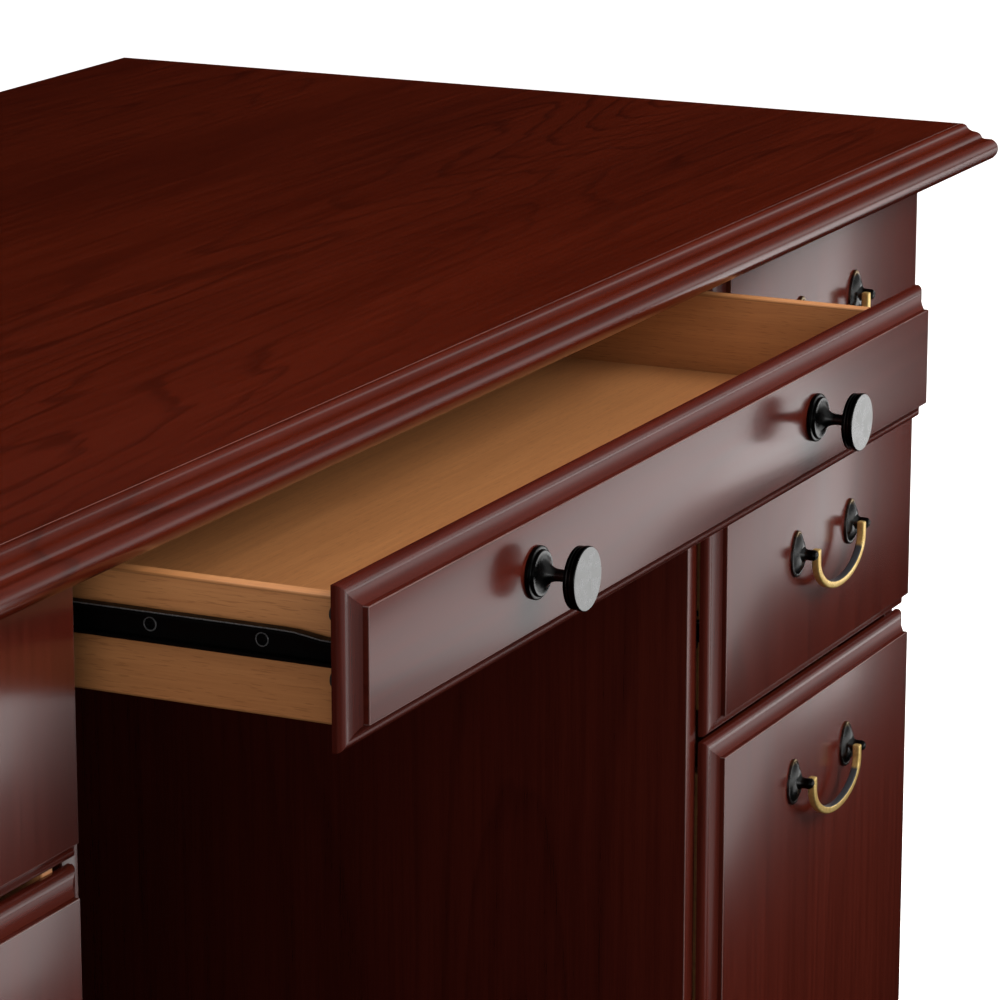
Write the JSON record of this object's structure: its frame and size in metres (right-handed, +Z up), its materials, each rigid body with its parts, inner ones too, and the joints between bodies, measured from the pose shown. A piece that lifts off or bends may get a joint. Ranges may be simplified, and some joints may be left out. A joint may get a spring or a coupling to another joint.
{
  "type": "executive pedestal desk",
  "caption": "Executive pedestal desk in dark cherry: moulded top, open centre drawer on runners, box and file drawers with bail pulls.",
  "frame": {"origin": "on the floor, in the middle of the box around the desk with its centre drawer open as at rest", "axes": "+Z up, +X along the width to the sitter's right, -Y towards the sitter"},
  "size_m": [1.6762, 0.905, 0.762],
  "materials": {
    "top_wood": "glossy dark cherry, grain along the width",
    "moulding_wood": "glossy dark cherry, grain along each length",
    "panel_wood": "satin dark cherry, upright grain",
    "front_wood": "glossy dark cherry",
    "beech": "satin light beech",
    "runner_steel": "satin black",
    "black_bronze": "satin black, slightly rubbed",
    "antique_brass": "rubbed antique brass, dark on the inside",
    "black_plastic": "matte black",
    "zinc": "zinc plated"
  },
  "bodies": {
    "carcass": {"desktop_panel": "top_wood", "moulding_front_back": "moulding_wood", "moulding_ends": "moulding_wood", "left_outer_side": "panel_wood", "left_inner_side": "panel_wood", "right_inner_side": "panel_wood", "right_outer_side": "panel_wood", "pedestal_backs": "panel_wood", "kneehole_back": "panel_wood", "pedestal_bottoms": "panel_wood", "plinth_rails": "panel_wood", "top_rails": "beech", "cabinet_runners": "runner_steel", "floor_glides": "black_plastic", "cam_locks": "zinc", "top_screws": "zinc"},
    "centre_drawer": {"centre_drawer_front": "front_wood", "centre_drawer_left_side": "beech", "centre_drawer_right_side": "beech", "centre_drawer_back": "beech", "centre_drawer_bottom": "beech", "centre_runners": "runner_steel", "centre_knobs": "black_bronze", "centre_bumpers": "black_plastic"},
    "left_top_drawer": {"left_top_drawer_front": "front_wood", "left_top_drawer_box": "beech", "left_top_drawer_bottom": "beech", "left_top_runners": "runner_steel", "left_top_pull_plates": "black_bronze"},
    "left_top_bail_pull": {"left_top_bail": "antique_brass"},
    "left_middle_drawer": {"left_middle_drawer_front": "front_wood", "left_middle_drawer_box": "beech", "left_middle_drawer_bottom": "beech", "left_middle_runners": "runner_steel", "left_middle_pull_plates": "black_bronze"},
    "left_middle_bail_pull": {"left_middle_bail": "antique_brass"},
    "left_file_drawer": {"left_file_drawer_front": "front_wood", "left_file_drawer_box": "beech", "left_file_drawer_bottom": "beech", "left_file_runners": "runner_steel", "left_file_pull_plates": "black_bronze"},
    "left_file_bail_pull": {"left_file_bail": "antique_brass"},
    "right_top_drawer": {"right_top_drawer_front": "front_wood", "right_top_drawer_box": "beech", "right_top_drawer_bottom": "beech", "right_top_runners": "runner_steel", "right_top_pull_plates": "black_bronze"},
    "right_top_bail_pull": {"right_top_bail": "antique_brass"},
    "right_middle_drawer": {"right_middle_drawer_front": "front_wood", "right_middle_drawer_box": "beech", "right_middle_drawer_bottom": "beech", "right_middle_runners": "runner_steel", "right_middle_pull_plates": "black_bronze"},
    "right_middle_bail_pull": {"right_middle_bail": "antique_brass"},
    "right_file_drawer": {"right_file_drawer_front": "front_wood", "right_file_drawer_box": "beech", "right_file_drawer_bottom": "beech", "right_file_runners": "runner_steel", "right_file_pull_plates": "black_bronze"},
    "right_file_bail_pull": {"right_file_bail": "antique_brass"}
  },
  "joints": [
    {"name": "centre_drawer_slide", "type": "slide", "parent": "carcass", "child": "centre_drawer", "axis": [0, -1, 0], "range_m": [-0.1538, 0.106]},
    {"name": "left_top_drawer_slide", "type": "slide", "parent": "carcass", "child": "left_top_drawer", "axis": [0, -1, 0], "range_m": [0, 0.28]},
    {"name": "left_top_bail_hinge", "type": "hinge", "parent": "left_top_drawer", "child": "left_top_bail_pull", "pos_m": [-0.60465, -0.28015, 0.662], "axis": [-1, 0, 0], "range_deg": [-15, 90]},
    {"name": "left_middle_drawer_slide", "type": "slide", "parent": "carcass", "child": "left_middle_drawer", "axis": [0, -1, 0], "range_m": [0, 0.28]},
    {"name": "left_middle_bail_hinge", "type": "hinge", "parent": "left_middle_drawer", "child": "left_middle_bail_pull", "pos_m": [-0.60465, -0.28015, 0.4924], "axis": [-1, 0, 0], "range_deg": [-15, 90]},
    {"name": "left_file_drawer_slide", "type": "slide", "parent": "carcass", "child": "left_file_drawer", "axis": [0, -1, 0], "range_m": [0, 0.3]},
    {"name": "left_file_bail_hinge", "type": "hinge", "parent": "left_file_drawer", "child": "left_file_bail_pull", "pos_m": [-0.60465, -0.28015, 0.3228], "axis": [-1, 0, 0], "range_deg": [-15, 90]},
    {"name": "right_top_drawer_slide", "type": "slide", "parent": "carcass", "child": "right_top_drawer", "axis": [0, -1, 0], "range_m": [0, 0.28]},
    {"name": "right_top_bail_hinge", "type": "hinge", "parent": "right_top_drawer", "child": "right_top_bail_pull", "pos_m": [0.60465, -0.28015, 0.662], "axis": [-1, 0, 0], "range_deg": [-15, 90]},
    {"name": "right_middle_drawer_slide", "type": "slide", "parent": "carcass", "child": "right_middle_drawer", "axis": [0, -1, 0], "range_m": [0, 0.28]},
    {"name": "right_middle_bail_hinge", "type": "hinge", "parent": "right_middle_drawer", "child": "right_middle_bail_pull", "pos_m": [0.60465, -0.28015, 0.4924], "axis": [-1, 0, 0], "range_deg": [-15, 90]},
    {"name": "right_file_drawer_slide", "type": "slide", "parent": "carcass", "child": "right_file_drawer", "axis": [0, -1, 0], "range_m": [0, 0.3]},
    {"name": "right_file_bail_hinge", "type": "hinge", "parent": "right_file_drawer", "child": "right_file_bail_pull", "pos_m": [0.60465, -0.28015, 0.3228], "axis": [-1, 0, 0], "range_deg": [-15, 90]}
  ]
}
